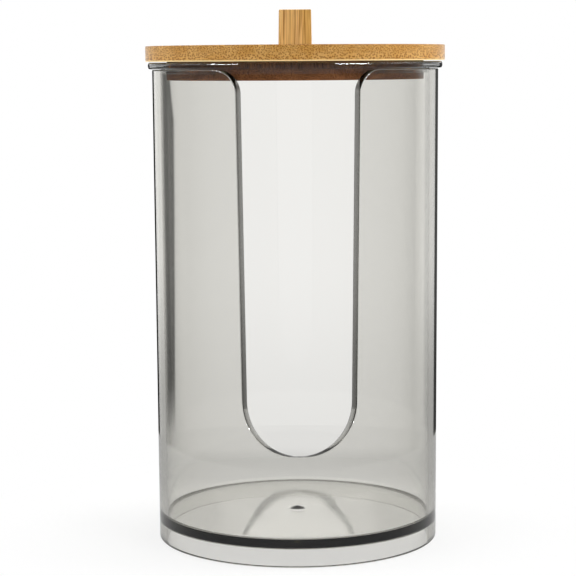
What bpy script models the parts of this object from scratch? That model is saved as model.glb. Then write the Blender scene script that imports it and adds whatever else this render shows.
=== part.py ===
"""Bathroom cup dispenser: a smoked clear canister with a finger slot, and a bamboo lid on a silicone seal.

Metres, +Z up. The origin is the middle of the foot, and the finger slot faces -Y.
"""

import math

import bmesh
import bpy

# The space left between two pieces that touch.
GAP = 0.0003

# Canister, one moulding. The radius is to the outer face at the rim, and the draft makes the foot slimmer.
RIM_RADIUS = 0.0500
DRAFT = 0.00044
CANISTER_HEIGHT = 0.1658
WALL = 0.0028
FLOOR_LIFT = 0.0062
FLOOR_THICKNESS = 0.00285
FLOOR_FILLET = 0.0012
SKIRT_FILLET = 0.0006
FOOT_ROUND = 0.0005

# Finger slot, measured along the middle of the wall and out to the tip of its full-round edge.
SLOT_BOTTOM = 0.0377
SLOT_HALF_WIDTH = 0.0179
SLOT_FLARE = 0.0012
SLOT_CORNER = 0.0079

# Gate mark in the middle of the floor: a low dome on top, over a dimple in the underside.
GATE_RADIUS = 0.00285
GATE_RISE = 0.0008
GATE_DIMPLE = 0.0006

# Seal ring: a round-edged flange that lies on the rim, and a lip that goes down into the mouth.
SEAL_OVERHANG = 0.00145
SEAL_THICKNESS = 0.00225
SEAL_LIP_DEPTH = 0.0013
SEAL_LIP_THICKNESS = 0.00165
SEAL_LIP_ROUND = 0.0003

# Lid: a disc of bamboo board, and the plug glued under it that the seal ring is stretched round.
LID_OVERHANG = 0.0023
LID_THICKNESS = 0.0054
LID_EDGE = 0.0003
PLUG_THICKNESS = 0.00605
PLUG_EDGE = 0.0003

# Knob: a short square bamboo post, a little slimmer at its top.
KNOB_BASE_WIDTH = 0.0115
KNOB_TOP_WIDTH = 0.0111
KNOB_HEIGHT = 0.01205
KNOB_EDGE = 0.0003

# Countersunk wood screw, up through the plug and the disc into the knob, which covers its point.
SCREW_RADIUS = 0.00175
SCREW_COVER = 0.0049
SCREW_TIP = 0.0030
SCREW_TIP_RADIUS = 0.0003
HEAD_RADIUS = 0.0035
HEAD_LIP = 0.0003
HEAD_SINK = 0.0002
RECESS_SPAN = 0.0038
RECESS_WIDTH = 0.0010
RECESS_DEPTH = 0.0013

# How far a cutter runs past what it cuts.
OVERRUN = 0.001

# Counts of steps that the round shapes are drawn with.
SLOT_ARC_STEPS = 8
SLOT_SIDE_STEPS = 5
SLOT_CORNER_STEPS = 4
RIM_STEPS = 29
EDGE_STEPS = 6
FILLET_STEPS = 3
GATE_STEPS = 3
ROUND_STEPS = 80
SMALL_ROUND_STEPS = 32
KNOB_EDGE_STEPS = 2

# Shading: a corner sharper than this stays crisp.
SMOOTH_BELOW = math.radians(40)

# Places and sizes that follow from the ones above.
WALL_MIDDLE_RADIUS = RIM_RADIUS - WALL / 2
FLOOR_TOP = FLOOR_LIFT + FLOOR_THICKNESS
SLOT_ARC_CENTRE = SLOT_BOTTOM + SLOT_HALF_WIDTH
SLOT_TOP_HALF_WIDTH = SLOT_HALF_WIDTH + SLOT_FLARE
SLOT_CORNER_CENTRE = CANISTER_HEIGHT - SLOT_CORNER
SEAL_SEAT = CANISTER_HEIGHT + GAP
SEAL_LIP_RADIUS = RIM_RADIUS - WALL - GAP
PLUG_RADIUS = SEAL_LIP_RADIUS - SEAL_LIP_THICKNESS - GAP
LID_SEAT = SEAL_SEAT + SEAL_THICKNESS + GAP
LID_RADIUS = RIM_RADIUS + LID_OVERHANG
PLUG_BOTTOM = LID_SEAT - GAP - PLUG_THICKNESS
KNOB_SEAT = LID_SEAT + LID_THICKNESS + GAP
SCREW_SEAT = PLUG_BOTTOM + HEAD_SINK
SCREW_LENGTH = KNOB_SEAT + KNOB_HEIGHT - SCREW_COVER - SCREW_SEAT
SCREW_HOLE_RADIUS = SCREW_RADIUS + GAP


def clear_scene():
    for obj in list(bpy.data.objects):
        bpy.data.objects.remove(obj)


def steps(count):
    """Shares from 0 to 1 in equal steps, both ends included."""
    return [i / count for i in range(count + 1)]


def arc(centre, radius, start, end, count):
    """Points of an arc in a (radius, height) section, from angle start to angle end."""
    angles = [start + (end - start) * share for share in steps(count)]
    return [(centre[0] + radius * math.cos(a), centre[1] + radius * math.sin(a)) for a in angles]


def stacked(rings, closed=False):
    """A mesh of rings, each a list of points, joined one to the next. A ring of one point is a pole."""
    bm = bmesh.new()
    rows = [[bm.verts.new(point) for point in ring] for ring in rings]
    pairs = list(zip(rows, rows[1:]))
    if closed:
        pairs.append((rows[-1], rows[0]))
    for low, high in pairs:
        count = max(len(low), len(high))
        for i in range(count):
            j = (i + 1) % count
            if len(low) == 1:
                bm.faces.new((low[0], high[i], high[j]))
            elif len(high) == 1:
                bm.faces.new((low[i], low[j], high[0]))
            else:
                bm.faces.new((low[i], low[j], high[j], high[i]))
    bmesh.ops.recalc_face_normals(bm, faces=bm.faces)
    return bm


def turned(profile, count, closed=False):
    """A turned shape. The profile is (radius, height) points, and a radius of 0 is a pole."""
    turns = [2 * math.pi * i / count for i in range(count)]
    rings = []
    for radius, height in profile:
        if radius == 0:
            rings.append([(0, 0, height)])
        else:
            rings.append([(radius * math.cos(t), radius * math.sin(t), height) for t in turns])
    return stacked(rings, closed)


def finish(name, colour, roughness, alpha=1.0, transmission=0.0, metallic=0.0):
    material = bpy.data.materials.new(name)
    material.use_nodes = True
    shader = material.node_tree.nodes["Principled BSDF"]
    shader.inputs["Base Color"].default_value = (*colour, 1.0)
    shader.inputs["Roughness"].default_value = roughness
    shader.inputs["Metallic"].default_value = metallic
    shader.inputs["Alpha"].default_value = alpha
    shader.inputs["Transmission Weight"].default_value = transmission
    return material


def add_object(name, bm, height=0.0, material=None, parent=None):
    """An object made from bm, with its own origin at this height on the Z axis."""
    mesh = bpy.data.meshes.new(name)
    bm.to_mesh(mesh)
    bm.free()
    obj = bpy.data.objects.new(name, mesh)
    bpy.context.scene.collection.objects.link(obj)
    if material:
        mesh.materials.append(material)
        mesh.shade_smooth()
        mesh.set_sharp_from_angle(angle=SMOOTH_BELOW)
    obj.parent = parent
    obj.location.z = height - (parent.location.z if parent else 0)
    return obj


def add_cutter(name, bm, height, carrier):
    """Takes the cutter's shape out of carrier with a Boolean. The cutter's origin is at this height."""
    cutter = add_object(name, bm, height, parent=carrier.parent)
    cutter.hide_render = True
    cutter.display_type = "WIRE"
    cut = carrier.modifiers.new(name, "BOOLEAN")
    cut.operation = "DIFFERENCE"
    cut.object = cutter
    return cutter


def block(width, depth, low, high):
    """A box centred on the Z axis, from height low to height high."""
    bm = bmesh.new()
    bmesh.ops.create_cube(bm, size=1)
    for vert in bm.verts:
        vert.co.x *= width
        vert.co.y *= depth
        vert.co.z = high if vert.co.z > 0 else low
    return bm


def outer_radius(height):
    """The canister's outer radius at a height, with the mould's draft."""
    return RIM_RADIUS - DRAFT * (1 - height / CANISTER_HEIGHT)


def slot_half_outline():
    """The wall's top edge from the slot's lowest point to the back, as (arc, height, lean, drop).

    arc is measured along the middle of the wall. (lean, drop) points from the edge into the wall.
    """
    outline = []
    for share in steps(SLOT_ARC_STEPS):
        angle = share * math.pi / 2
        side, down = math.sin(angle), -math.cos(angle)
        outline.append((SLOT_HALF_WIDTH * side, SLOT_ARC_CENTRE + SLOT_HALF_WIDTH * down, side, down))
    for share in steps(SLOT_SIDE_STEPS)[1:]:
        height = SLOT_ARC_CENTRE + (SLOT_CORNER_CENTRE - SLOT_ARC_CENTRE) * share
        outline.append((SLOT_HALF_WIDTH + SLOT_FLARE * share, height, 1.0, 0.0))
    for share in steps(SLOT_CORNER_STEPS)[1:]:
        angle = share * math.pi / 2
        side, down = math.cos(angle), -math.sin(angle)
        across = SLOT_TOP_HALF_WIDTH + SLOT_CORNER - SLOT_CORNER * side
        outline.append((across, SLOT_CORNER_CENTRE - SLOT_CORNER * down, side, down))
    rim_start = SLOT_TOP_HALF_WIDTH + SLOT_CORNER
    rim_end = math.pi * WALL_MIDDLE_RADIUS
    for share in steps(RIM_STEPS)[1:]:
        outline.append((rim_start + (rim_end - rim_start) * share, CANISTER_HEIGHT, 0.0, -1.0))
    return outline


def slot_outline():
    """The wall's whole top edge, round from the slot's lowest point back to the point before it."""
    half = slot_half_outline()
    other = [(-across, height, -lean, drop) for across, height, lean, drop in half[-2:0:-1]]
    return half + other


def around(across, radius, height):
    """The point at this radius whose distance round the middle of the wall from the slot is across."""
    turn = across / WALL_MIDDLE_RADIUS
    return (radius * math.sin(turn), -radius * math.cos(turn), height)


def wall_edge_ring(outline, angle):
    """One ring of the wall's full-round edge: angle 0 is on the outer face, and pi is on the inner face."""
    half_wall = WALL / 2
    inset = half_wall * (1 - math.sin(angle))
    ring = []
    for across, height, lean, drop in outline:
        level = height + drop * inset
        radius = outer_radius(level) - half_wall + half_wall * math.cos(angle)
        ring.append(around(across + lean * inset, radius, level))
    return ring


def canister_bmesh():
    """The moulding, from the middle of its underside round the foot, up over the edge and in to the floor."""
    outline = slot_outline()
    columns = [across + lean * WALL / 2 for across, height, lean, drop in outline]
    skirt_radius = outer_radius(0) - WALL
    well_radius = outer_radius(FLOOR_TOP) - WALL
    quarter = math.pi / 2

    under_gate = [
        (GATE_RADIUS * share, FLOOR_LIFT + GATE_DIMPLE * math.cos(quarter * share) ** 2)
        for share in steps(GATE_STEPS)[1:]
    ]
    skirt_top = (skirt_radius - SKIRT_FILLET, FLOOR_LIFT - SKIRT_FILLET)
    foot_inner = (skirt_radius + FOOT_ROUND, FOOT_ROUND)
    foot_outer = (outer_radius(0) - FOOT_ROUND, FOOT_ROUND)
    below = under_gate
    below += arc(skirt_top, SKIRT_FILLET, quarter, 0, FILLET_STEPS)
    below += arc(foot_inner, FOOT_ROUND, 2 * quarter, 3 * quarter, FILLET_STEPS)
    below += arc(foot_outer, FOOT_ROUND, 3 * quarter, 4 * quarter, FILLET_STEPS)

    well_bottom = (well_radius - FLOOR_FILLET, FLOOR_TOP + FLOOR_FILLET)
    inside = arc(well_bottom, FLOOR_FILLET, 0, -quarter, FILLET_STEPS)
    inside += [
        (GATE_RADIUS * share, FLOOR_TOP + GATE_RISE * math.cos(quarter * share) ** 2)
        for share in reversed(steps(GATE_STEPS)[1:])
    ]

    rings = [[(0, 0, FLOOR_LIFT + GATE_DIMPLE)]]
    rings += [[around(across, radius, height) for across in columns] for radius, height in below]
    rings += [wall_edge_ring(outline, math.pi * share) for share in steps(EDGE_STEPS)]
    rings += [[around(across, radius, height) for across in columns] for radius, height in inside]
    rings.append([(0, 0, FLOOR_TOP + GATE_RISE)])
    return stacked(rings)


def add_canister():
    smoked_plastic = finish("smoked_clear_plastic", (0.62, 0.62, 0.61), 0.03, alpha=0.45, transmission=1.0)
    return add_object("canister", canister_bmesh(), material=smoked_plastic)


def add_seal_ring():
    """The flange and the lip in one section. The lip fills the mouth round the plug."""
    bore = PLUG_RADIUS + GAP
    lip_low = -GAP - SEAL_LIP_DEPTH
    half = SEAL_THICKNESS / 2
    lip_corner = (SEAL_LIP_RADIUS - SEAL_LIP_ROUND, lip_low + SEAL_LIP_ROUND)
    flange_edge = (RIM_RADIUS + SEAL_OVERHANG - half, half)
    quarter = math.pi / 2
    profile = [(bore, lip_low)]
    profile += arc(lip_corner, SEAL_LIP_ROUND, -quarter, 0, FILLET_STEPS)
    profile.append((SEAL_LIP_RADIUS, 0))
    profile += arc(flange_edge, half, -quarter, quarter, EDGE_STEPS)
    profile.append((bore, SEAL_THICKNESS))
    silicone = finish("clear_silicone", (0.55, 0.57, 0.58), 0.25, alpha=0.6, transmission=0.7)
    return add_object("seal_ring", turned(profile, ROUND_STEPS, closed=True), SEAL_SEAT, silicone)


def add_lid_disc(lid, bamboo):
    rim = LID_RADIUS - LID_EDGE
    profile = [
        (SCREW_HOLE_RADIUS, 0),
        (rim, 0),
        (LID_RADIUS, LID_EDGE),
        (LID_RADIUS, LID_THICKNESS - LID_EDGE),
        (rim, LID_THICKNESS),
        (SCREW_HOLE_RADIUS, LID_THICKNESS),
    ]
    return add_object("lid_disc", turned(profile, ROUND_STEPS, closed=True), LID_SEAT, bamboo, lid)


def add_lid_plug(lid, bamboo):
    """The lower disc, with the screw's countersink in its underside."""
    sink_top = HEAD_SINK + HEAD_LIP
    profile = [
        (HEAD_RADIUS + GAP, 0),
        (PLUG_RADIUS - PLUG_EDGE, 0),
        (PLUG_RADIUS, PLUG_EDGE),
        (PLUG_RADIUS, PLUG_THICKNESS),
        (SCREW_HOLE_RADIUS, PLUG_THICKNESS),
        (SCREW_HOLE_RADIUS, sink_top + HEAD_RADIUS - SCREW_RADIUS),
        (HEAD_RADIUS + GAP, sink_top),
    ]
    return add_object("lid_plug", turned(profile, ROUND_STEPS, closed=True), PLUG_BOTTOM, bamboo, lid)


def add_knob(lid, bamboo):
    bm = block(KNOB_BASE_WIDTH, KNOB_BASE_WIDTH, 0, KNOB_HEIGHT)
    slimmer = KNOB_TOP_WIDTH / KNOB_BASE_WIDTH
    for vert in bm.verts:
        if vert.co.z > 0:
            vert.co.x *= slimmer
            vert.co.y *= slimmer
    knob = add_object("knob", bm, KNOB_SEAT, bamboo, lid)
    eased = knob.modifiers.new("eased_edges", "BEVEL")
    eased.width = KNOB_EDGE
    eased.segments = KNOB_EDGE_STEPS
    hole_top = KNOB_HEIGHT - SCREW_COVER + GAP
    hole_profile = [
        (0, -OVERRUN),
        (SCREW_HOLE_RADIUS, -OVERRUN),
        (SCREW_HOLE_RADIUS, hole_top),
        (0, hole_top),
    ]
    add_cutter("knob_screw_hole", turned(hole_profile, SMALL_ROUND_STEPS), KNOB_SEAT, knob)
    return knob


def add_knob_screw(lid):
    """Head down, flush with the plug's underside, and the point up in the knob."""
    profile = [
        (0, 0),
        (HEAD_RADIUS, 0),
        (HEAD_RADIUS, HEAD_LIP),
        (SCREW_RADIUS, HEAD_LIP + HEAD_RADIUS - SCREW_RADIUS),
        (SCREW_RADIUS, SCREW_LENGTH - SCREW_TIP),
        (SCREW_TIP_RADIUS, SCREW_LENGTH),
        (0, SCREW_LENGTH),
    ]
    steel = finish("zinc_plated_steel", (0.62, 0.63, 0.65), 0.3, metallic=1.0)
    screw = add_object("knob_screw", turned(profile, SMALL_ROUND_STEPS), SCREW_SEAT, steel, lid)
    for name, width, depth in (
        ("recess_across", RECESS_SPAN, RECESS_WIDTH),
        ("recess_along", RECESS_WIDTH, RECESS_SPAN),
    ):
        add_cutter(name, block(width, depth, -OVERRUN, RECESS_DEPTH), SCREW_SEAT, screw)
    return screw


def add_lid():
    """The lid's pieces hang from one empty on the axis that they lift along and turn about."""
    lid = bpy.data.objects.new("lid_axis", None)
    bpy.context.scene.collection.objects.link(lid)
    lid.location.z = LID_SEAT
    add_lid_disc(lid, finish("bamboo_board", (0.60, 0.36, 0.15), 0.5))
    add_lid_plug(lid, finish("bamboo_plug_board", (0.55, 0.33, 0.14), 0.55))
    add_knob(lid, finish("bamboo_post", (0.62, 0.38, 0.17), 0.5))
    add_knob_screw(lid)
    return lid


clear_scene()
add_canister()
add_seal_ring()
add_lid()
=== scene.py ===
"""Bathroom cup dispenser: the looks of its pieces, in the order that they are put together.

Metres, +Z up. The finger slot faces -Y, and so does the camera.
"""

import math

import bmesh
import bpy
from mathutils import Matrix, Vector


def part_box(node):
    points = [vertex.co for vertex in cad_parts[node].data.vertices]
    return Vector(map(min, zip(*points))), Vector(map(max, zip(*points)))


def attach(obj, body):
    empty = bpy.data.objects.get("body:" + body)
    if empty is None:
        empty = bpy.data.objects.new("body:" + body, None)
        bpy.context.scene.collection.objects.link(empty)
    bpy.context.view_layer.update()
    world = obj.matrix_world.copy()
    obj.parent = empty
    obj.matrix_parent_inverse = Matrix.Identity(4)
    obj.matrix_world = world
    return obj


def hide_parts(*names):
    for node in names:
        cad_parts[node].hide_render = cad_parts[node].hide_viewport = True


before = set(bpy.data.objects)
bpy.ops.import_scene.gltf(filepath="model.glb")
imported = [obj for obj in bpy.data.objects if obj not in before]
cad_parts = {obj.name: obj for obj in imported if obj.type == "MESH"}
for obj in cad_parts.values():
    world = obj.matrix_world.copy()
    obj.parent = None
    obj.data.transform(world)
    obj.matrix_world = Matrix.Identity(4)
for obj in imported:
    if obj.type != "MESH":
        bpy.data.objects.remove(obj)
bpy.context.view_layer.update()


# Camera, table and studio
#
# A long lens level with the lid looks slightly down at the -Y side. The object stands on a matt white
# table in a white tent, with two dark flags beside the backdrop, a soft lamp high at each front corner
# and a soft panel high on each side.

CAMERA_PLACE = Vector((-0.01220, -0.66310, 0.1690))
CAMERA_YAW = 0.0139
CAMERA_PITCH = 0.1207
CAMERA_ROLL = -0.0064
LENS_MM = 117.48
SENSOR_MM = 36.0

TABLE_RADIUS = 0.20
TABLE_SIDES = 128
TABLE_WHITE_FROM = 0.05
TABLE_WHITE_TO = 0.13
TABLE_ALBEDO = "f0f0ef"
TABLE_GLOW = 0.72
# How bright the table looks through clear walls, as (mm behind the object's middle, level). The dip is a
# painted shadow.
TABLE_THROUGH_PAINTED_SHADOW = (
    (-60.0, 0.97),
    (60.0, 0.97),
    (90.0, 0.80),
    (125.0, 0.80),
    (150.0, 0.93),
    (200.0, 0.93),
)

CEILING_LEVEL = 0.86
SWEEP_LEVEL = 0.85
BACKDROP_TOP_LEVEL = 1.07
BACKDROP_FOOT_LEVEL = 0.96
MIRRORED_FOOT_LEVEL = 0.57

# What clear pieces show straight through on each side of the tent, as (degrees off its middle, level).
TENT_STOPS = (
    (-45.0, 1.0),
    (-31.6, 0.75),
    (-20.6, 0.42),
    (-15.6, 0.20),
    (-11.6, 0.12),
    (-9.2, 0.10),
    (-8.2, 1.0),
    (45.0, 1.0),
)
# How far out the flags' edges lean with height, as (degrees of height, share of FLAG_LEAN_MOST).
FLAG_LEAN = (
    (-12.0, 0.85),
    (-9.9, 0.75),
    (-7.3, 0.58),
    (-4.4, 0.44),
    (-1.8, 0.36),
    (-0.6, 0.75),
    (12.0, 0.85),
)
FLAG_LEAN_MOST = 4.0
# What clear pieces' outer faces mirror, and what their edges trap and let out again, as (degrees
# off +Y, level). The trapped light gives the slot's edge its bright and dark lines.
MIRRORED_STOPS = (
    (-180.0, 0.38),
    (-152.0, 0.38),
    (-138.0, 0.14),
    (-42.0, 0.10),
    (-40.0, 0.62),
    (-21.0, 0.62),
    (-19.0, 0.0),
    (0.0, 0.0),
    (5.0, 0.05),
    (27.0, 0.05),
    (29.0, 0.60),
    (58.0, 0.60),
    (66.0, 0.14),
    (138.0, 0.14),
    (152.0, 0.38),
    (180.0, 0.38),
)
TRAPPED_STOPS = (
    (-180.0, 0.24),
    (-66.0, 0.24),
    (-60.0, 0.08),
    (-42.0, 0.08),
    (-40.0, 0.66),
    (-24.0, 0.66),
    (-22.5, 0.88),
    (-14.0, 0.88),
    (-12.5, 0.0),
    (0.0, 0.0),
    (5.0, 0.06),
    (21.0, 0.06),
    (22.5, 0.58),
    (58.0, 0.58),
    (66.0, 0.24),
    (180.0, 0.24),
)
MIRRORED_SCALE = 1.6
# The room above the flags, as (degrees off +Y to either side, level): a white backdrop, pale sides and
# a dim front.
UPPER_STOPS = (
    (0.0, 1.0),
    (40.0, 1.0),
    (55.0, 0.58),
    (115.0, 0.58),
    (145.0, 0.08),
    (180.0, 0.08),
)
# The heights between which each light changes to the next, in degrees, and the ceiling's as rise.
FLAG_TOP = (2.0, 6.0)
TENT_FOOT = (-9.5, -11.8)
ROOM_FOOT = (-13.0, -20.0)
BACKDROP_SHADE = (-6.0, -12.5)
MIRRORED_SHADE = (-5.5, -10.5)
CEILING_RISE = (0.35, 0.95)

# The patch of light that comes through the finger slot on to the backdrop. The floor mirrors it as an
# arch. Its foot is a bowl, FOOT + off * off * (1 / SPREAD + FULLNESS * off * off) degrees high at off
# degrees to the side of TURN, and STEEPNESS is how fast that outline's slope grows. Towards TOP the
# patch fades into the backdrop.
PATCH_TURN = 1.10
PATCH_FOOT = 13.06
PATCH_SPREAD = 10.5
PATCH_FULLNESS = 0.008
PATCH_STEEPNESS = 0.2
PATCH_TOP = (20.0, 24.0)
# Across its outline, as (degrees inside, level): the slot's edge draws two dark lines.
PATCH_STOPS = (
    (-3.00, 0.58),
    (-0.40, 0.58),
    (-0.04, 0.64),
    (0.00, 0.02),
    (0.05, 0.20),
    (0.10, 0.02),
    (0.17, 0.45),
    (0.25, 1.0),
    (0.50, 1.0),
)
PATCH_SCALE = 1.76
# The patch's soft glow on both its sides, by the same degrees, and the heights where it sets in.
GLOW_STOPS = (
    (-3.0, 0.0),
    (-2.2, 0.03),
    (-1.2, 0.14),
    (-0.6, 0.18),
    (-0.05, 0.18),
    (0.0, 0.0),
    (0.5, 0.0),
)
GLOW_RISE = (13.0, 13.45)

# The soft lamps and panels, as (azimuth, elevation, width, height, level), in degrees from the front.
LAMPS = (
    (-61.0, 24.0, 24.0, 12.0, 7.0),
    (46.5, 24.0, 26.0, 12.0, 12.0),
)
SIDE_PANELS = (
    (-100.0, 33.0, 36.0, 24.0, 3.6),
    (98.0, 33.0, 36.0, 24.0, 6.0),
)
LAMP_SOFTNESS = 0.15
LAMP_SHINE = 6.0
LAMP_THROUGH = 0.1

# Between no bounce and one, to tell the two apart.
HALF_BOUNCE = 0.5


def linear(colour):
    """A colour written as sRGB hex, as the linear values that a shader takes."""
    levels = [int(colour[i:i + 2], 16) / 255 for i in (0, 2, 4)]
    return [c / 12.92 if c <= 0.04045 else ((c + 0.055) / 1.055) ** 2.4 for c in levels] + [1.0]


def add_node(tree, kind, inputs=None, stops=(), **settings):
    """A node with its settings. An input takes a value, a socket, or a node for its first output.

    The stops of a colour ramp are (share, level).
    """
    made = tree.nodes.new(kind)
    for name, value in settings.items():
        setattr(made, name, value)
    for name, value in (inputs or {}).items():
        if isinstance(value, bpy.types.Node):
            value = next(socket for socket in value.outputs if socket.enabled)
        if isinstance(value, bpy.types.NodeSocket):
            tree.links.new(value, made.inputs[name])
        else:
            made.inputs[name].default_value = value
    for i, (share, level) in enumerate(stops):
        elements = made.color_ramp.elements
        stop = elements[i] if i < 2 else elements.new(share)
        stop.position = share
        stop.color = (level, level, level, 1.0)
    return made


def empty_tree(owner):
    """The cleared node tree of a material or a world."""
    owner.use_nodes = True
    owner.node_tree.nodes.clear()
    return owner.node_tree


def lamp_axes(azimuth, elevation):
    """The ways to a lamp, to its right and to its top. Azimuth goes from the front towards +X."""
    a, e = math.radians(azimuth), math.radians(elevation)
    ahead = Vector((math.sin(a) * math.cos(e), -math.cos(a) * math.cos(e), math.sin(e)))
    right = Vector((0, 0, 1)).cross(ahead).normalized()
    return ahead, right, ahead.cross(right)


def add_lamp(tree, direction, light, azimuth, elevation, width, height, level):
    """The light with one more oblong soft lamp in it, seen in that direction."""
    shares = []
    for axis in lamp_axes(azimuth, elevation):
        dot = {0: direction, 1: tuple(axis)}
        share = add_node(tree, "ShaderNodeVectorMath", dot, operation="DOT_PRODUCT")
        shares.append(share.outputs["Value"])
    inside = add_node(tree, "ShaderNodeMath", {0: shares[0], 1: 0.0}, operation="GREATER_THAN")
    for share, size in ((shares[1], width), (shares[2], height)):
        half = math.tan(math.radians(size / 2))
        slope = add_node(tree, "ShaderNodeMath", {0: share, 1: shares[0]}, operation="DIVIDE")
        off = add_node(tree, "ShaderNodeMath", {0: slope}, operation="ABSOLUTE")
        edge = {
            "Value": off,
            "From Min": half * (1 - LAMP_SOFTNESS),
            "From Max": half * (1 + LAMP_SOFTNESS),
            "To Min": 1.0,
            "To Max": 0.0,
        }
        within = add_node(tree, "ShaderNodeMapRange", edge, interpolation_type="SMOOTHSTEP")
        inside = add_node(tree, "ShaderNodeMath", {0: inside, 1: within}, operation="MULTIPLY")
    return add_node(tree, "ShaderNodeMath", {0: inside, 1: level, 2: light}, operation="MULTIPLY_ADD")


def level_at(tree, angle, stops):
    """The value at an angle in degrees, from stops of (degrees, value)."""
    start, end = stops[0][0], stops[-1][0]
    share = add_node(tree, "ShaderNodeMapRange", {"Value": angle, "From Min": start, "From Max": end})
    shares = [((degrees - start) / (end - start), level) for degrees, level in stops]
    return add_node(tree, "ShaderNodeValToRGB", {0: share}, stops=shares)


def slot_light(tree, azimuth, height):
    """The level of the patch of light on the backdrop, against the light round it."""
    off = add_node(tree, "ShaderNodeMath", {0: azimuth, 1: PATCH_TURN}, operation="SUBTRACT")
    square = add_node(tree, "ShaderNodeMath", {0: off, 1: off}, operation="MULTIPLY")
    fuller = {0: square, 1: PATCH_FULLNESS, 2: 1 / PATCH_SPREAD}
    rate = add_node(tree, "ShaderNodeMath", fuller, operation="MULTIPLY_ADD")
    foot = add_node(tree, "ShaderNodeMath", {0: square, 1: rate, 2: PATCH_FOOT}, operation="MULTIPLY_ADD")
    inside = add_node(tree, "ShaderNodeMath", {0: height, 1: foot}, operation="SUBTRACT")
    steep = {0: square, 1: PATCH_STEEPNESS, 2: 1.0}
    slant = add_node(tree, "ShaderNodeMath", steep, operation="MULTIPLY_ADD")
    length = add_node(tree, "ShaderNodeMath", {0: slant}, operation="SQRT")
    depth = add_node(tree, "ShaderNodeMath", {0: inside, 1: length}, operation="DIVIDE")
    patch = level_at(tree, depth, PATCH_STOPS)
    glow = level_at(tree, depth, GLOW_STOPS)
    rise = {"Value": height, "From Min": GLOW_RISE[0], "From Max": GLOW_RISE[1]}
    risen = add_node(tree, "ShaderNodeMapRange", rise, interpolation_type="SMOOTHSTEP")
    patch = add_node(tree, "ShaderNodeMath", {0: glow, 1: risen, 2: patch}, operation="MULTIPLY_ADD")
    scaled = add_node(tree, "ShaderNodeMath", {0: patch, 1: PATCH_SCALE}, operation="MULTIPLY")
    fade = {"Value": height, "From Min": PATCH_TOP[0], "From Max": PATCH_TOP[1]}
    faded = add_node(tree, "ShaderNodeMapRange", fade, interpolation_type="SMOOTHSTEP")
    return add_node(tree, "ShaderNodeMix", {0: faded, 2: scaled, 3: 1.0}, data_type="FLOAT")


def straight_light(tree, azimuth, height, over_flags):
    """What clear pieces show straight through: the tent, its two flags and the foot of its backdrop."""
    # The tent is alike on its four sides, so the azimuth is taken off the nearest middle.
    off_side = add_node(tree, "ShaderNodeMath", {0: azimuth, 1: 45.0, 2: -45.0}, operation="WRAP")
    lean = level_at(tree, height, FLAG_LEAN)
    lean_out = {0: lean, 1: FLAG_LEAN_MOST, 2: off_side}
    leaning = add_node(tree, "ShaderNodeMath", lean_out, operation="MULTIPLY_ADD")
    side = level_at(tree, leaning, TENT_STOPS)
    tent = add_node(tree, "ShaderNodeMix", {0: over_flags, 2: side, 3: 1.0}, data_type="FLOAT")
    down = {
        "Value": height,
        "From Min": TENT_FOOT[1],
        "From Max": TENT_FOOT[0],
        "To Min": 1.0,
        "To Max": 0.0,
    }
    low = add_node(tree, "ShaderNodeMapRange", down, interpolation_type="SMOOTHSTEP")
    tent_side = add_node(tree, "ShaderNodeMix", {0: low, 2: tent, 3: 1.0}, data_type="FLOAT")
    shading = {
        "Value": height,
        "From Min": BACKDROP_SHADE[1],
        "From Max": BACKDROP_SHADE[0],
        "To Min": BACKDROP_FOOT_LEVEL,
        "To Max": BACKDROP_TOP_LEVEL,
    }
    shade = add_node(tree, "ShaderNodeMapRange", shading, interpolation_type="SMOOTHSTEP")
    return add_node(tree, "ShaderNodeMath", {0: tent_side, 1: shade}, operation="MULTIPLY")


def mirrored_light(tree, azimuth, height, over_flags, upper, through):
    """What clear pieces mirror or trap: dark flags beside the backdrop, a white front, a dim room."""
    mirrored = level_at(tree, azimuth, MIRRORED_STOPS)
    trapped = level_at(tree, azimuth, TRAPPED_STOPS)
    walls = {0: through, 2: mirrored, 3: trapped}
    nearby = add_node(tree, "ShaderNodeMix", walls, data_type="FLOAT")
    around = add_node(tree, "ShaderNodeMath", {0: nearby, 1: MIRRORED_SCALE}, operation="MULTIPLY")
    patch = slot_light(tree, azimuth, height)
    patched = add_node(tree, "ShaderNodeMath", {0: upper, 1: patch}, operation="MULTIPLY")
    both = add_node(tree, "ShaderNodeMix", {0: over_flags, 2: around, 3: patched}, data_type="FLOAT")
    dimming = {
        "Value": height,
        "From Min": MIRRORED_SHADE[1],
        "From Max": MIRRORED_SHADE[0],
        "To Min": MIRRORED_FOOT_LEVEL,
        "To Max": 1.0,
    }
    dimmed = add_node(tree, "ShaderNodeMapRange", dimming, interpolation_type="SMOOTHSTEP")
    return add_node(tree, "ShaderNodeMath", {0: both, 1: dimmed}, operation="MULTIPLY")


def with_lamps(tree, direction, light, path, unscattered):
    """The light with the lamps and the side panels in it.

    The lamps' own faces are far brighter than the light they spread, so they shine more where mirrored,
    and clear edges, which would gather them into sparks, show little of them.
    """
    lamps = 0.0
    for lamp in LAMPS:
        lamps = add_lamp(tree, direction, lamps, *lamp)
    panels = 0.0
    for panel in SIDE_PANELS:
        panels = add_lamp(tree, direction, panels, *panel)
    shine = {"Value": path["Is Glossy Ray"], "To Min": 1.0, "To Max": LAMP_SHINE}
    shining = add_node(tree, "ShaderNodeMapRange", shine)
    gathering = {0: path["Is Transmission Ray"], 1: unscattered}
    gathered = add_node(tree, "ShaderNodeMath", gathering, operation="MULTIPLY")
    faced = add_node(tree, "ShaderNodeMix", {0: gathered, 2: shining, 3: LAMP_THROUGH}, data_type="FLOAT")
    lit = add_node(tree, "ShaderNodeMath", {0: lamps, 1: faced, 2: light}, operation="MULTIPLY_ADD")
    kept = add_node(tree, "ShaderNodeMix", {0: gathered, 2: 1.0, 3: LAMP_THROUGH}, data_type="FLOAT")
    return add_node(tree, "ShaderNodeMath", {0: panels, 1: kept, 2: lit}, operation="MULTIPLY_ADD")


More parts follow.
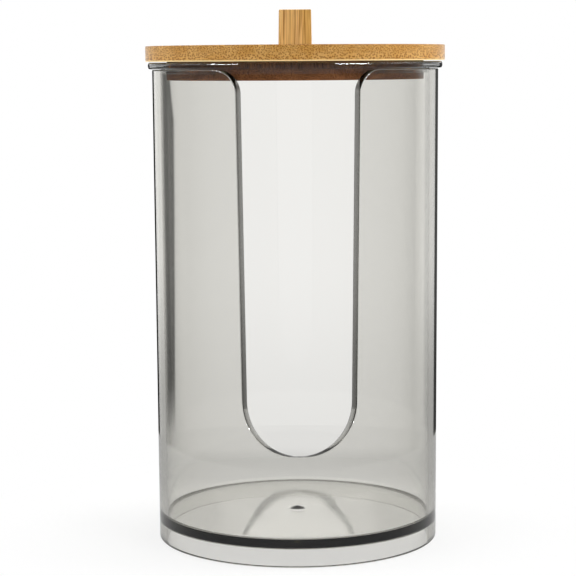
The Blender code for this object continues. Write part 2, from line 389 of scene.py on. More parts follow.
def build_world():
    """White behind the object. Clear pieces show the tent and its flags, and the room lights the rest."""
    world = bpy.data.worlds.new("studio")
    bpy.context.scene.world = world
    tree = empty_tree(world)
    direction = add_node(tree, "ShaderNodeTexCoord").outputs["Generated"]
    parts = add_node(tree, "ShaderNodeSeparateXYZ", {0: direction}).outputs
    rise = add_node(tree, "ShaderNodeMath", {0: parts["Z"]}, operation="ARCSINE")
    height = add_node(tree, "ShaderNodeMath", {0: rise}, operation="DEGREES")
    turn = add_node(tree, "ShaderNodeMath", {0: parts["X"], 1: parts["Y"]}, operation="ARCTAN2")
    azimuth = add_node(tree, "ShaderNodeMath", {0: turn}, operation="DEGREES")
    above = {"Value": height, "From Min": FLAG_TOP[0], "From Max": FLAG_TOP[1]}
    over_flags = add_node(tree, "ShaderNodeMapRange", above, interpolation_type="SMOOTHSTEP")
    off_backdrop = add_node(tree, "ShaderNodeMath", {0: azimuth}, operation="ABSOLUTE")
    upper = level_at(tree, off_backdrop, UPPER_STOPS)

    # Clear: through clear pieces without a bounce. Sharp: by clear or glossy pieces alone.
    path = add_node(tree, "ShaderNodeLightPath").outputs
    through = path["Is Transmission Ray"]
    met = {0: path["Glossy Depth"], 1: path["Diffuse Depth"]}
    bounces = add_node(tree, "ShaderNodeMath", met, operation="ADD")
    none = add_node(tree, "ShaderNodeMath", {0: bounces, 1: HALF_BOUNCE}, operation="LESS_THAN")
    clear = add_node(tree, "ShaderNodeMath", {0: through, 1: none}, operation="MULTIPLY")
    bent = add_node(tree, "ShaderNodeMath", {0: through, 1: path["Is Glossy Ray"]}, operation="MAXIMUM")
    matt_met = {0: path["Diffuse Depth"], 1: HALF_BOUNCE}
    unscattered = add_node(tree, "ShaderNodeMath", matt_met, operation="LESS_THAN")
    sharp = add_node(tree, "ShaderNodeMath", {0: bent, 1: unscattered}, operation="MULTIPLY")

    # Matt surfaces take the light of the pale room under its bright ceiling.
    bright = mirrored_light(tree, azimuth, height, over_flags, upper, through)
    level = add_node(tree, "ShaderNodeMix", {0: sharp, 2: upper, 3: bright}, data_type="FLOAT")
    skyward = {"Value": parts["Z"], "From Min": CEILING_RISE[0], "From Max": CEILING_RISE[1]}
    overhead = add_node(tree, "ShaderNodeMapRange", skyward, interpolation_type="SMOOTHSTEP")
    room = add_node(tree, "ShaderNodeMix", {0: overhead, 2: level, 3: CEILING_LEVEL}, data_type="FLOAT")
    down = {
        "Value": height,
        "From Min": ROOM_FOOT[1],
        "From Max": ROOM_FOOT[0],
        "To Min": 1.0,
        "To Max": 0.0,
    }
    low = add_node(tree, "ShaderNodeMapRange", down, interpolation_type="SMOOTHSTEP")
    sweep = {0: sharp, 2: SWEEP_LEVEL, 3: MIRRORED_FOOT_LEVEL}
    swept = add_node(tree, "ShaderNodeMix", sweep, data_type="FLOAT")
    room_light = add_node(tree, "ShaderNodeMix", {0: low, 2: room, 3: swept}, data_type="FLOAT")
    tent_light = straight_light(tree, azimuth, height, over_flags)
    light = add_node(tree, "ShaderNodeMix", {0: clear, 2: room_light, 3: tent_light}, data_type="FLOAT")

    total = with_lamps(tree, direction, light, path, unscattered)
    studio = add_node(tree, "ShaderNodeBackground", {"Color": linear("ffffff"), "Strength": total})
    white = add_node(tree, "ShaderNodeBackground", {"Color": linear("ffffff"), "Strength": 1.0})
    seen = {0: path["Is Camera Ray"], 1: studio, 2: white}
    shown = add_node(tree, "ShaderNodeMixShader", seen)
    add_node(tree, "ShaderNodeOutputWorld", {"Surface": shown})


def table_material():
    """Matt white laminate near the object, where its shadow falls, and plain white further out."""
    material = bpy.data.materials.new("matt_white_laminate")
    tree = empty_tree(material)
    place = add_node(tree, "ShaderNodeTexCoord").outputs["Object"]
    reach = add_node(tree, "ShaderNodeVectorMath", {0: place}, operation="LENGTH").outputs["Value"]
    spread = {
        "Value": reach,
        "From Min": TABLE_WHITE_FROM,
        "From Max": TABLE_WHITE_TO,
        "To Min": TABLE_GLOW,
    }
    far = add_node(tree, "ShaderNodeMapRange", spread, interpolation_type="SMOOTHSTEP")
    path = add_node(tree, "ShaderNodeLightPath").outputs
    matt_met = {0: path["Diffuse Depth"], 1: HALF_BOUNCE}
    first = add_node(tree, "ShaderNodeMath", matt_met, operation="LESS_THAN")
    blend = add_node(tree, "ShaderNodeMath", {0: far, 1: first}, operation="MULTIPLY")
    matt = add_node(tree, "ShaderNodeBsdfDiffuse", {"Color": linear(TABLE_ALBEDO)})
    # Seen through clear walls, the table glows at a level set by how far behind the middle it is, with a
    # painted shadow behind the object.
    back = add_node(tree, "ShaderNodeSeparateXYZ", {0: place}).outputs["Y"]
    behind = add_node(tree, "ShaderNodeMath", {0: back, 1: 1000.0}, operation="MULTIPLY")
    through_painted_shadow = level_at(tree, behind, TABLE_THROUGH_PAINTED_SHADOW)
    glossy_met = {0: path["Glossy Depth"], 1: HALF_BOUNCE}
    mirrored = add_node(tree, "ShaderNodeMath", glossy_met, operation="GREATER_THAN")
    reached = {0: mirrored, 2: through_painted_shadow, 3: MIRRORED_FOOT_LEVEL}
    indirect = add_node(tree, "ShaderNodeMix", reached, data_type="FLOAT")
    seen = {0: path["Is Camera Ray"], 2: indirect, 3: 1.0}
    glow = add_node(tree, "ShaderNodeMix", seen, data_type="FLOAT")
    white = add_node(tree, "ShaderNodeEmission", {"Color": linear("ffffff"), "Strength": glow})
    mixed = add_node(tree, "ShaderNodeMixShader", {0: blend, 1: matt, 2: white})
    add_node(tree, "ShaderNodeOutputMaterial", {"Surface": mixed})
    return material


def add_table():
    """A round table top under the object."""
    bm = bmesh.new()
    bmesh.ops.create_circle(bm, cap_ends=True, segments=TABLE_SIDES, radius=TABLE_RADIUS)
    mesh = bpy.data.meshes.new("table")
    bm.to_mesh(mesh)
    bm.free()
    table = bpy.data.objects.new("table", mesh)
    bpy.context.scene.collection.objects.link(table)
    mesh.materials.append(table_material())


def add_camera():
    """The camera, turned by its yaw, pitch and roll from looking along +Y."""
    yaw, pitch, roll = CAMERA_YAW, CAMERA_PITCH, CAMERA_ROLL
    ahead = Vector((math.sin(yaw) * math.cos(pitch), math.cos(yaw) * math.cos(pitch), -math.sin(pitch)))
    right = Vector((math.cos(yaw), -math.sin(yaw), 0))
    up = right.cross(ahead)
    across = right * math.cos(roll) + up * math.sin(roll)
    along = up * math.cos(roll) - right * math.sin(roll)
    data = bpy.data.cameras.new("camera")
    data.sensor_width = SENSOR_MM
    data.lens = LENS_MM
    camera = bpy.data.objects.new("camera", data)
    turned = Matrix((across, along, -ahead)).transposed().to_4x4()
    camera.matrix_world = Matrix.Translation(CAMERA_PLACE) @ turned
    bpy.context.scene.collection.objects.link(camera)
    bpy.context.scene.camera = camera


bpy.context.scene.view_settings.view_transform = "Standard"
add_camera()
build_world()
add_table()


# Canister
#
# A deep cup of smoked clear acrylic, injection moulded in one, with a finger slot open to the rim.
# The wall's edge is flat with its arrises rounded off, and the gate has left a low dome in the floor.
# It is the one piece that stands on the table, and it carries all the others.

CANISTER_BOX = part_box("canister")
RIM_RADIUS = 0.0500
DRAFT = 0.00044
CANISTER_HEIGHT = CANISTER_BOX[1].z
WALL = 0.0028
FLOOR_LIFT = 0.0062
FLOOR_THICKNESS = 0.00285
FLOOR_FILLET = 0.0012
SKIRT_FILLET = 0.0006
FOOT_ROUND = 0.0005
SLOT_BOTTOM = 0.0377
SLOT_HALF_WIDTH = 0.01835
SLOT_FLARE = 0.0012
SLOT_CORNER = 0.0079
EDGE_OUTER_ROUND = 0.0003
EDGE_INNER_ROUND = 0.0004
# The slot opens a little outwards. At the outer face its flat edge is set back by EDGE_SLANT on the
# right side and by a share of that on the left, but not at its lowest point or along the rim.
EDGE_SLANT = 0.00105
EDGE_SLANT_LEFT_SHARE = 0.86
GATE_RADIUS = 0.00285
GATE_RISE = 0.0008
GATE_DIMPLE = 0.0006

# Into how many steps each curve is divided.
SLOT_FOOT_STEPS = 44
SLOT_SIDE_STEPS = 22
SLOT_CORNER_STEPS = 24
HALF_RIM_STEPS = 150
ROUND_STEPS = 6
FLOOR_FILLET_STEPS = 8
GATE_STEPS = 8

FLOOR_TOP = FLOOR_LIFT + FLOOR_THICKNESS
WALL_MIDDLE = RIM_RADIUS - WALL / 2
SLOT_ARC_CENTRE = SLOT_BOTTOM + SLOT_HALF_WIDTH
SLOT_TOP_HALF_WIDTH = SLOT_HALF_WIDTH + SLOT_FLARE
SLOT_CORNER_CENTRE = CANISTER_HEIGHT - SLOT_CORNER
QUARTER = math.pi / 2


def steps(count):
    """Shares from 0 to 1 in equal steps, both ends included."""
    return [i / count for i in range(count + 1)]


def arc(centre, radius, start, end, count, hollow=False):
    """A rounded corner of a section, as (radius, height, out, up) with the way that its surface faces."""
    side = -1 if hollow else 1
    points = []
    for share in steps(count):
        c, s = math.cos(start + (end - start) * share), math.sin(start + (end - start) * share)
        points.append((centre[0] + radius * c, centre[1] + radius * s, side * c, side * s))
    return points


def stacked(name, rings, closed=False):
    """A piece from rings of (point, facing), joined one to the next. A ring of one point is a pole."""
    points, facings, faces, starts = [], [], [], []
    for ring in rings:
        starts.append(len(points))
        points += [point for point, facing in ring]
        facings += [facing for point, facing in ring]
    order = list(range(len(rings)))
    pairs = list(zip(order, order[1:]))
    if closed:
        pairs.append((order[-1], 0))
    for low, high in pairs:
        a, b = len(rings[low]), len(rings[high])
        count = max(a, b)
        for i in range(count):
            j = (i + 1) % count
            first, second = starts[low], starts[high]
            if a == 1:
                faces.append((first, second + i, second + j))
            elif b == 1:
                faces.append((first + i, first + j, second))
            else:
                faces.append((first + i, first + j, second + j, second + i))
    mesh = bpy.data.meshes.new(name)
    mesh.from_pydata(points, [], faces)
    bm = bmesh.new()
    bm.from_mesh(mesh)
    bmesh.ops.recalc_face_normals(bm, faces=bm.faces)
    bm.to_mesh(mesh)
    bm.free()
    mesh.shade_smooth()
    mesh.normals_split_custom_set_from_vertices(facings)
    piece = bpy.data.objects.new(name, mesh)
    bpy.context.scene.collection.objects.link(piece)
    return piece


def round_ring(profile_point, turns):
    """One ring of a turned shape: the section's point at each turn."""
    radius, height, out, up = profile_point
    if radius == 0:
        return [((0, 0, height), (0, 0, up))]
    ring = []
    for turn in turns:
        s, c = math.sin(turn), -math.cos(turn)
        ring.append(((radius * s, radius * c, height), (out * s, out * c, up)))
    return ring


def slot_outline():
    """The wall's top edge as (across, height, lean, drop, slant), from the slot's lowest point round.

    Across is along the wall's middle. Lean, along the wall, and drop, upwards, lead into the wall.
    """
    half = []
    for share in steps(SLOT_FOOT_STEPS):
        side, down = math.sin(share * QUARTER), -math.cos(share * QUARTER)
        height = SLOT_ARC_CENTRE + SLOT_HALF_WIDTH * down
        half.append((SLOT_HALF_WIDTH * side, height, side, down, EDGE_SLANT * side))
    for share in steps(SLOT_SIDE_STEPS)[1:]:
        height = SLOT_ARC_CENTRE + (SLOT_CORNER_CENTRE - SLOT_ARC_CENTRE) * share
        half.append((SLOT_HALF_WIDTH + SLOT_FLARE * share, height, 1.0, 0.0, EDGE_SLANT))
    for share in steps(SLOT_CORNER_STEPS)[1:]:
        side, down = math.cos(share * QUARTER), -math.sin(share * QUARTER)
        across = SLOT_TOP_HALF_WIDTH + SLOT_CORNER - SLOT_CORNER * side
        half.append((across, SLOT_CORNER_CENTRE - SLOT_CORNER * down, side, down, EDGE_SLANT * side))
    rim_start = SLOT_TOP_HALF_WIDTH + SLOT_CORNER
    rim_end = math.pi * WALL_MIDDLE
    for share in steps(HALF_RIM_STEPS)[1:]:
        half.append((rim_start + (rim_end - rim_start) * share, CANISTER_HEIGHT, 0.0, -1.0, 0.0))
    left = []
    for across, height, lean, drop, slant in half[-2:0:-1]:
        less = (1 - EDGE_SLANT_LEFT_SHARE) * abs(lean)
        left.append((-across, height, -lean, drop, slant * (1 - less)))
    return half + left


def outer_radius(height):
    """The canister's outer radius at a height, with the mould's draft."""
    return RIM_RADIUS - DRAFT * (1 - height / CANISTER_HEIGHT)


def edge_profile(slant):
    """The section of the wall's edge, from the outer face to the inner, as (through, inset, out, over).

    The edge is flat and slants back towards the outer face, with its two arrises rounded off.
    """
    tilt = math.atan2(slant, WALL)
    turned = QUARTER - tilt
    arrises = (
        (EDGE_OUTER_ROUND, EDGE_OUTER_ROUND, 0, turned),
        (EDGE_INNER_ROUND, WALL - EDGE_INNER_ROUND, turned, 2 * QUARTER),
    )
    points = []
    for radius, through, start, end in arrises:
        inset = slant * (1 - through / WALL) + radius / math.cos(tilt)
        for share in steps(ROUND_STEPS):
            out, over = math.cos(start + (end - start) * share), math.sin(start + (end - start) * share)
            points.append((through - radius * out, inset - radius * over, out, over))
    return points


def edge_rings(outline):
    """The rings of the wall's edge, each at one depth through the wall."""
    rings = []
    profiles = [edge_profile(slant) for across, height, lean, drop, slant in outline]
    for level in range(len(profiles[0])):
        ring = []
        for (across, height, lean, drop, slant), profile in zip(outline, profiles):
            through, inset, out, over = profile[level]
            z = height + drop * inset
            turn = (across + lean * inset) / WALL_MIDDLE
            radius = outer_radius(z) - through
            s, c = math.sin(turn), math.cos(turn)
            side = -over * lean
            facing = (out * s + side * c, -out * c + side * s, -over * drop)
            ring.append(((radius * s, -radius * c, z), facing))
        rings.append(ring)
    return rings


def gate_profile(height, rise, up):
    """The gate's low swelling from its edge in to the middle, facing up or down."""
    points = []
    for share in reversed(steps(GATE_STEPS)[1:]):
        slope = rise * QUARTER * math.sin(math.pi * share) / GATE_RADIUS
        facing = Vector((slope * up, up)).normalized()
        points.append((GATE_RADIUS * share, height + rise * math.cos(QUARTER * share) ** 2, *facing))
    return points + [(0, height + rise, 0, up)]


def build_canister():
    """The moulding, as rings from the gate's dimple below, round the foot, up, over the edge and down."""
    outline = slot_outline()
    turns = [(across + lean * EDGE_SLANT) / WALL_MIDDLE for across, height, lean, drop, slant in outline]
    skirt_radius = outer_radius(0) - WALL
    well_radius = outer_radius(FLOOR_TOP) - WALL
    skirt_top = (skirt_radius - SKIRT_FILLET, FLOOR_LIFT - SKIRT_FILLET)
    foot_inner = (skirt_radius + FOOT_ROUND, FOOT_ROUND)
    foot_outer = (outer_radius(0) - FOOT_ROUND, FOOT_ROUND)
    well_bottom = (well_radius - FLOOR_FILLET, FLOOR_TOP + FLOOR_FILLET)
    below = list(reversed(gate_profile(FLOOR_LIFT, GATE_DIMPLE, -1)))
    below += arc(skirt_top, SKIRT_FILLET, QUARTER, 0, ROUND_STEPS, hollow=True)
    below += arc(foot_inner, FOOT_ROUND, 2 * QUARTER, 3 * QUARTER, ROUND_STEPS)
    below += arc(foot_outer, FOOT_ROUND, 3 * QUARTER, 4 * QUARTER, ROUND_STEPS)
    inside = arc(well_bottom, FLOOR_FILLET, 0, -QUARTER, FLOOR_FILLET_STEPS, hollow=True)
    inside += gate_profile(FLOOR_TOP, GATE_RISE, 1)
    rings = [round_ring(point, turns) for point in below]
    rings += edge_rings(outline)
    rings += [round_ring(point, turns) for point in inside]
    return stacked("canister_moulding", rings)


def smoked_clear_acrylic():
    """Clear acrylic with a grey tint that deepens with the way through it, so an edge seen end on is dark.

    The mould's polish leaves a faint ripple, about 40 mm from crest to crest, so mirrored lines waver.
    Handling leaves a trace of haze, in patches of about 14 mm.
    """
    material = bpy.data.materials.new("smoked_clear_acrylic")
    tree = empty_tree(material)
    place = add_node(tree, "ShaderNodeTexCoord").outputs["Object"]
    handled = add_node(tree, "ShaderNodeTexNoise", {"Vector": place, "Scale": 70.0, "Detail": 3.0})
    hazed = {"Value": handled, "From Min": 0.45, "From Max": 0.75, "To Min": 0.012, "To Max": 0.035}
    haze = add_node(tree, "ShaderNodeMapRange", hazed, interpolation_type="SMOOTHSTEP")
    ripple = add_node(tree, "ShaderNodeTexNoise", {"Vector": place, "Scale": 26.0, "Detail": 1.0})
    waves = {"Height": ripple, "Strength": 0.05, "Distance": 0.0005}
    ripple_normal = add_node(tree, "ShaderNodeBump", waves)
    shader = add_node(tree, "ShaderNodeBsdfPrincipled", {
        "Base Color": linear("ffffff"),
        "Roughness": haze,
        "IOR": 1.49,
        "Transmission Weight": 1.0,
        "Normal": ripple_normal,
    })
    tint = {"Color": linear("b9b6a7"), "Density": 122.0}
    smoke = add_node(tree, "ShaderNodeVolumeAbsorption", tint)
    add_node(tree, "ShaderNodeOutputMaterial", {"Surface": shader, "Volume": smoke})
    return material


canister = build_canister()
canister.data.materials.append(smoked_clear_acrylic())
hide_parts("canister")
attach(canister, "canister")


# Seal ring
#
# Clear silicone, moulded, with a round-edged flange that lies on the rim and a lip that fills the mouth.
# It is stretched round the lid's plug.

SEAL_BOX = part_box("seal_ring")
GAP = 0.0003
SEAL_SEAT = CANISTER_HEIGHT + GAP
SEAL_TOP = SEAL_BOX[1].z
SEAL_LOW = SEAL_BOX[0].z
SEAL_RADIUS = SEAL_BOX[1].x
SEAL_LIP_THICKNESS = 0.00165
SEAL_LIP_RADIUS = RIM_RADIUS - WALL - GAP
SEAL_BORE = SEAL_LIP_RADIUS - SEAL_LIP_THICKNESS
SEAL_ROUND = 0.0003
SEAL_BULGE = 0.0006

SMALL_ROUND_STEPS = 4
SEAL_BULGE_STEPS = 24
TURN_STEPS = 288
ROUND_TURNS = [2 * math.pi * i / TURN_STEPS for i in range(TURN_STEPS)]


def build_seal_ring():
    """The ring, turned from its section: the lip below, the bulging flange outside and the bore."""
    half = (SEAL_TOP - SEAL_SEAT) / 2
    few = SMALL_ROUND_STEPS
    bore_low = (SEAL_BORE + SEAL_ROUND, SEAL_LOW + SEAL_ROUND)
    lip_low = (SEAL_LIP_RADIUS - SEAL_ROUND, SEAL_LOW + SEAL_ROUND)
    under_flange = (SEAL_LIP_RADIUS + SEAL_ROUND, SEAL_SEAT - SEAL_ROUND)
    bore_top = (SEAL_BORE + SEAL_ROUND, SEAL_TOP - SEAL_ROUND)
    section = arc(bore_low, SEAL_ROUND, 2 * QUARTER, 3 * QUARTER, few)
    section += arc(lip_low, SEAL_ROUND, -QUARTER, 0, few)
    section += arc(under_flange, SEAL_ROUND, 2 * QUARTER, QUARTER, few, hollow=True)
    for share in steps(SEAL_BULGE_STEPS):
        turn = (2 * share - 1) * QUARTER
        radius = SEAL_RADIUS - SEAL_BULGE * (1 - math.cos(turn))
        facing = Vector((math.cos(turn) / SEAL_BULGE, math.sin(turn) / half)).normalized()
        section.append((radius, SEAL_SEAT + half + half * math.sin(turn), *facing))
    section += arc(bore_top, SEAL_ROUND, QUARTER, 2 * QUARTER, few)
    rings = [round_ring(point, ROUND_TURNS) for point in section]
    return stacked("seal_ring_moulding", rings, closed=True)


def clear_silicone():
    """Soft clear rubber: a little dull inside and satin outside, so its highlights spread slightly.

    Fingers leave the satin uneven, in patches of about 6 mm.
    """
    material = bpy.data.materials.new("clear_silicone")
    tree = empty_tree(material)
    place = add_node(tree, "ShaderNodeTexCoord").outputs["Object"]
    touched = add_node(tree, "ShaderNodeTexNoise", {"Vector": place, "Scale": 160.0, "Detail": 2.0})
    rubbed = {"Value": touched, "From Min": 0.35, "From Max": 0.7, "To Min": 0.03, "To Max": 0.07}
    satin = add_node(tree, "ShaderNodeMapRange", rubbed, interpolation_type="SMOOTHSTEP")
    shader = add_node(tree, "ShaderNodeBsdfPrincipled", {
        "Base Color": linear("fbfbfa"),
        "Roughness": satin,
        "IOR": 1.41,
        "Transmission Weight": 1.0,
    })
    tint = {"Color": linear("c4c5c5"), "Density": 120.0}
    body = add_node(tree, "ShaderNodeVolumeAbsorption", tint)
    add_node(tree, "ShaderNodeOutputMaterial", {"Surface": shader, "Volume": body})
    return material


seal_ring = build_seal_ring()
seal_ring.data.materials.append(clear_silicone())
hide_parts("seal_ring")
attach(seal_ring, "seal")


# Lid plug
#
# The lower disc of bamboo board, turned to fit inside the mouth and glued under the lid.
# Its underside is countersunk for the knob's screw.

PLUG_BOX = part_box("lid_plug")
PLUG_RADIUS = PLUG_BOX[1].x
PLUG_LOW = PLUG_BOX[0].z
GLUE_LINE = 0.00002
PLUG_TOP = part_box("lid_disc")[0].z - GLUE_LINE
ARRIS = 0.0003
SCREW_RADIUS = 0.00175
SCREW_HEAD_RADIUS = 0.0035
SCREW_HOLE = SCREW_RADIUS + GAP
SINK_RADIUS = SCREW_HEAD_RADIUS + GAP
SINK_LIP = 0.0005

# The fibre bundles' spacings, in millimetres, and their radius and its soft edge, as shares of those.
BUNDLE_SPACINGS = (1 / 1.35, 1 / 1.80)
BUNDLE_RADIUS = 0.42
BUNDLE_EDGE = (0.45, 1.15)


def turned_disc(name, radius, low, high, hole_profile):
    """A board disc with eased arrises, and a hole down its middle given from the top down."""
    section = arc((radius - ARRIS, low + ARRIS), ARRIS, -QUARTER, 0, SMALL_ROUND_STEPS)
    section += arc((radius - ARRIS, high - ARRIS), ARRIS, 0, QUARTER, SMALL_ROUND_STEPS)
    rings = [round_ring(point, ROUND_TURNS) for point in section + hole_profile]
    return stacked(name, rings, closed=True)


def fibre_bundles(tree, millimetres, parts, fine_from):
    """How much of a dark fibre bundle shows at each place: dots across the grain, streaks along it."""
    # The bundles wander by 1 to 2 mm, over about 8 mm across the grain and 30 mm along it, so that
    # streaks come to the surface and leave it again.
    slow = add_node(tree, "ShaderNodeMapping", {"Vector": millimetres, "Scale": (0.12, 0.03, 0.12)})
    drift = add_node(tree, "ShaderNodeTexNoise", {"Vector": slow, "Scale": 1.0, "Detail": 2.0})
    drifts = add_node(tree, "ShaderNodeSeparateColor", {0: drift.outputs["Color"]}).outputs
    sideways = {0: drifts[0], 1: 1.6, 2: parts["X"]}
    across = add_node(tree, "ShaderNodeMath", sideways, operation="MULTIPLY_ADD")
    inwards = {0: drifts[1], 1: 2.4, 2: parts["Z"]}
    deep = add_node(tree, "ShaderNodeMath", inwards, operation="MULTIPLY_ADD")
    section = add_node(tree, "ShaderNodeCombineXYZ", {"X": across, "Y": deep})
    # The dots are drawn a little coarser than the finest real ones, so that they show.
    dots = []
    for spacing in BUNDLE_SPACINGS:
        cells = {"Vector": section, "Scale": 1 / spacing, "Randomness": 0.85}
        cell = add_node(tree, "ShaderNodeTexVoronoi", cells, voronoi_dimensions="2D")
        round_dot = {
            "Value": cell.outputs["Distance"],
            "From Min": BUNDLE_RADIUS * BUNDLE_EDGE[0],
            "From Max": BUNDLE_RADIUS * BUNDLE_EDGE[1],
            "To Min": 1.0,
            "To Max": 0.0,
        }
        dots.append(add_node(tree, "ShaderNodeMapRange", round_dot, interpolation_type="SMOOTHSTEP"))
    blend = 0.6
    if fine_from:
        finer = {"Value": parts["Z"], "From Min": fine_from[0], "From Max": fine_from[1]}
        blend = add_node(tree, "ShaderNodeMapRange", finer, interpolation_type="SMOOTHSTEP")
    return add_node(tree, "ShaderNodeMix", {0: blend, 2: dots[0], 3: dots[1]}, data_type="FLOAT")


def bamboo(name, pale, mid, dark, seed, upright=False, fine_from=None, painted_highlight_from=None, sheen=0.6):
    """Bamboo board, sanded and oiled: pale ground tissue with darker bundles of fibre running one way.

    Across the grain the bundles show as dots, closer together towards the culm's outer side, and
    along it as long streaks. The grain runs front to back in a board, and up in a post. Oil without
    varnish leaves a weak, broad shine.
    """
    material = bpy.data.materials.new(name)
    tree = empty_tree(material)
    place = add_node(tree, "ShaderNodeTexCoord").outputs["Object"]
    mapping = {
        "Vector": place,
        "Scale": (1000, 1000, 1000),
        "Rotation": (QUARTER, 0, 0) if upright else (0, 0, 0),
        "Location": (seed, seed, 0),
    }
    millimetres = add_node(tree, "ShaderNodeMapping", mapping)
    parts = add_node(tree, "ShaderNodeSeparateXYZ", {0: millimetres}).outputs
    bundle = fibre_bundles(tree, millimetres, parts, fine_from)
    # Fine fibre, 0.15 mm across, drawn out along the grain.
    fine = add_node(tree, "ShaderNodeMapping", {"Vector": millimetres, "Scale": (3.2, 0.05, 3.2)})
    fibre = add_node(tree, "ShaderNodeTexNoise", {"Vector": fine, "Scale": 1.0, "Detail": 4.0})
    lines = {"Value": fibre, "From Min": 0.42, "From Max": 0.72, "To Max": 0.35}
    streak = add_node(tree, "ShaderNodeMapRange", lines, interpolation_type="SMOOTHSTEP")
    # The ground's tone changes slowly, over about 4 mm across the grain and 80 mm along it.
    broad = add_node(tree, "ShaderNodeMapping", {"Vector": millimetres, "Scale": (0.22, 0.012, 0.3)})
    tone = add_node(tree, "ShaderNodeTexNoise", {"Vector": broad, "Scale": 1.0, "Detail": 2.0})
    even = {"Value": tone, "From Min": 0.3, "From Max": 0.7}
    ground = add_node(tree, "ShaderNodeMapRange", even, interpolation_type="SMOOTHSTEP")
    body = {0: ground, 6: linear(pale), 7: linear(mid)}
    body_colour = add_node(tree, "ShaderNodeMix", body, data_type="RGBA")
    dotted = add_node(tree, "ShaderNodeMath", {0: bundle, 1: 0.9}, operation="MULTIPLY")
    darker = add_node(tree, "ShaderNodeMath", {0: dotted, 1: streak}, operation="MAXIMUM")
    mixed = {0: darker, 6: body_colour, 7: linear(dark)}
    colour = add_node(tree, "ShaderNodeMix", mixed, data_type="RGBA")
    if painted_highlight_from:
        # The hand-eased lower arris is painted pale: a painted highlight where it would catch light from
        # below.
        eased = {"Value": parts["Z"], "From Min": painted_highlight_from, "From Max": painted_highlight_from - 0.3}
        painted_arris_highlight = add_node(tree, "ShaderNodeMapRange", eased, interpolation_type="SMOOTHSTEP")
        highlight_mix = {0: painted_arris_highlight, 6: colour, 7: linear("ffe0a0")}
        colour = add_node(tree, "ShaderNodeMix", highlight_mix, data_type="RGBA")
    roughened = {0: darker, 1: 0.15, 2: 0.64}
    rough = add_node(tree, "ShaderNodeMath", roughened, operation="MULTIPLY_ADD")
    relief = {"Height": darker, "Strength": 0.35, "Distance": 0.00006}
    bumped = add_node(tree, "ShaderNodeBump", relief, invert=True)
    shader = add_node(tree, "ShaderNodeBsdfPrincipled", {
        "Base Color": colour,
        "Roughness": rough,
        "IOR": 1.5,
        "Specular IOR Level": 0.38,
        "Sheen Weight": sheen,
        "Sheen Roughness": 0.3,
        "Normal": bumped,
    })
    add_node(tree, "ShaderNodeOutputMaterial", {"Surface": shader})
    return material


# The screw's hole, from the top down to its countersink.
plug_hole = [
    (SCREW_HOLE, PLUG_TOP, 0, 1),
    (SCREW_HOLE, PLUG_LOW + SINK_LIP + SINK_RADIUS - SCREW_HOLE, -1, 0),
    (SINK_RADIUS, PLUG_LOW + SINK_LIP, -1, 0),
    (SINK_RADIUS, PLUG_LOW, 0, -1),
]
lid_plug = turned_disc("lid_plug_board", PLUG_RADIUS, PLUG_LOW, PLUG_TOP, plug_hole)
# The plug's tones are the board's, darkened: painted shade under the lid's overhang and the seal.
plug_board = bamboo("bamboo_plug_painted_shade", "a06739", "8a5527", "50280c", 31.0, sheen=0.0)
lid_plug.data.materials.append(plug_board)
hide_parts("lid_plug")
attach(lid_plug, "lid")


# Lid disc
#
# A round of the same board, sawn, sanded and oiled, that overhangs the rim all round.

DISC_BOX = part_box("lid_disc")
DISC_RADIUS = DISC_BOX[1].x
DISC_LOW = DISC_BOX[0].z
DISC_TOP = DISC_BOX[1].z

disc_hole = [(SCREW_HOLE, DISC_TOP, 0, 1), (SCREW_HOLE, DISC_LOW, 0, -1)]
lid_disc = turned_disc("lid_disc_board", DISC_RADIUS, DISC_LOW, DISC_TOP, disc_hole)
# The heights in millimetres where the dots get finer, and below which the edge gets a painted highlight.
disc_fine = (DISC_LOW * 1000 + 1.0, DISC_TOP * 1000 - 0.5)
disc_painted_highlight = DISC_LOW * 1000 + 0.55
disc_tones = ("d6a65a", "c89341", "804b12")
board = bamboo("oiled_bamboo_board", *disc_tones, 7.0, fine_from=disc_fine, painted_highlight_from=disc_painted_highlight)
lid_disc.data.materials.append(board)
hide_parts("lid_disc")
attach(lid_disc, "lid")


# Knob
#
# A short square post of bamboo, grain upright, a little slimmer at its top and with eased edges.

KNOB_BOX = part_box("knob")
KNOB_TOP_WIDTH = 0.0111
KNOB_EASE = 0.0003
KNOB_EASE_STEPS = 4


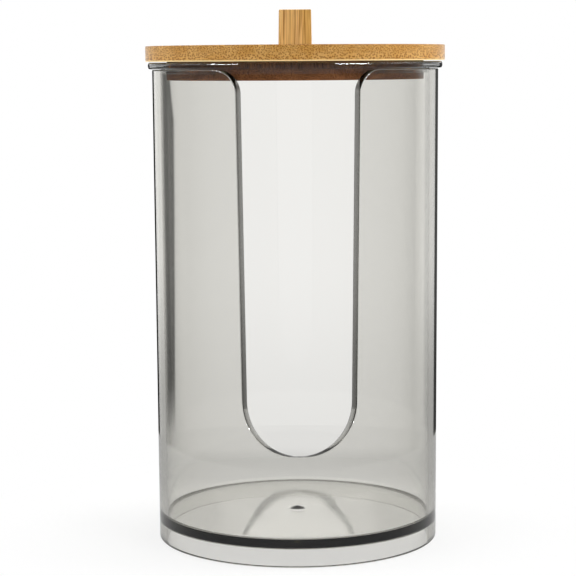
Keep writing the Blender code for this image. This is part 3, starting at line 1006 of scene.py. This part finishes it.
def build_knob():
    """The post, a block that narrows upwards, with eased edges and shading that keeps its faces flat."""
    bm = bmesh.new()
    bmesh.ops.create_cube(bm, size=2)
    for vert in bm.verts:
        top = vert.co.z > 0
        half = KNOB_TOP_WIDTH / 2 if top else KNOB_BOX[1].x
        vert.co = (vert.co.x * half, vert.co.y * half, KNOB_BOX[1].z if top else KNOB_BOX[0].z)
    eased = {"offset": KNOB_EASE, "segments": KNOB_EASE_STEPS, "profile": 0.5, "affect": "EDGES"}
    bmesh.ops.bevel(bm, geom=list(bm.edges), **eased)
    mesh = bpy.data.meshes.new("knob_post")
    bm.to_mesh(mesh)
    bm.free()
    mesh.shade_smooth()
    knob = bpy.data.objects.new("knob_post", mesh)
    bpy.context.scene.collection.objects.link(knob)
    weighted = knob.modifiers.new("flat_faces", "WEIGHTED_NORMAL")
    weighted.keep_sharp = True
    return knob


knob = build_knob()
post = bamboo("oiled_bamboo_post", "f3ce8a", "e0b765", "9b6629", 53.0, upright=True)
knob.data.materials.append(post)
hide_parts("knob")
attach(knob, "lid")


# Knob screw
#
# A zinc-plated steel wood screw, countersunk with a cross recess, that holds the knob from below.
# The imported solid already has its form, so only its finish is set here.


def zinc_plated_steel():
    """Bright plating: cool grey metal, a little uneven in tone and gloss, in spots about 1 mm apart."""
    material = bpy.data.materials.new("zinc_plated_steel")
    tree = empty_tree(material)
    place = add_node(tree, "ShaderNodeTexCoord").outputs["Object"]
    spots = add_node(tree, "ShaderNodeTexNoise", {"Vector": place, "Scale": 900.0, "Detail": 3.0})
    tones = {0: spots, 6: linear("b9bcc0"), 7: linear("9a9da3")}
    colour = add_node(tree, "ShaderNodeMix", tones, data_type="RGBA")
    worn = {"Value": spots, "From Min": 0.3, "From Max": 0.7, "To Min": 0.22, "To Max": 0.4}
    rough = add_node(tree, "ShaderNodeMapRange", worn, interpolation_type="SMOOTHSTEP")
    shader = add_node(tree, "ShaderNodeBsdfPrincipled", {
        "Base Color": colour,
        "Roughness": rough,
        "Metallic": 1.0,
    })
    add_node(tree, "ShaderNodeOutputMaterial", {"Surface": shader})
    return material


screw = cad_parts["knob_screw"]
screw.data.materials.clear()
screw.data.materials.append(zinc_plated_steel())
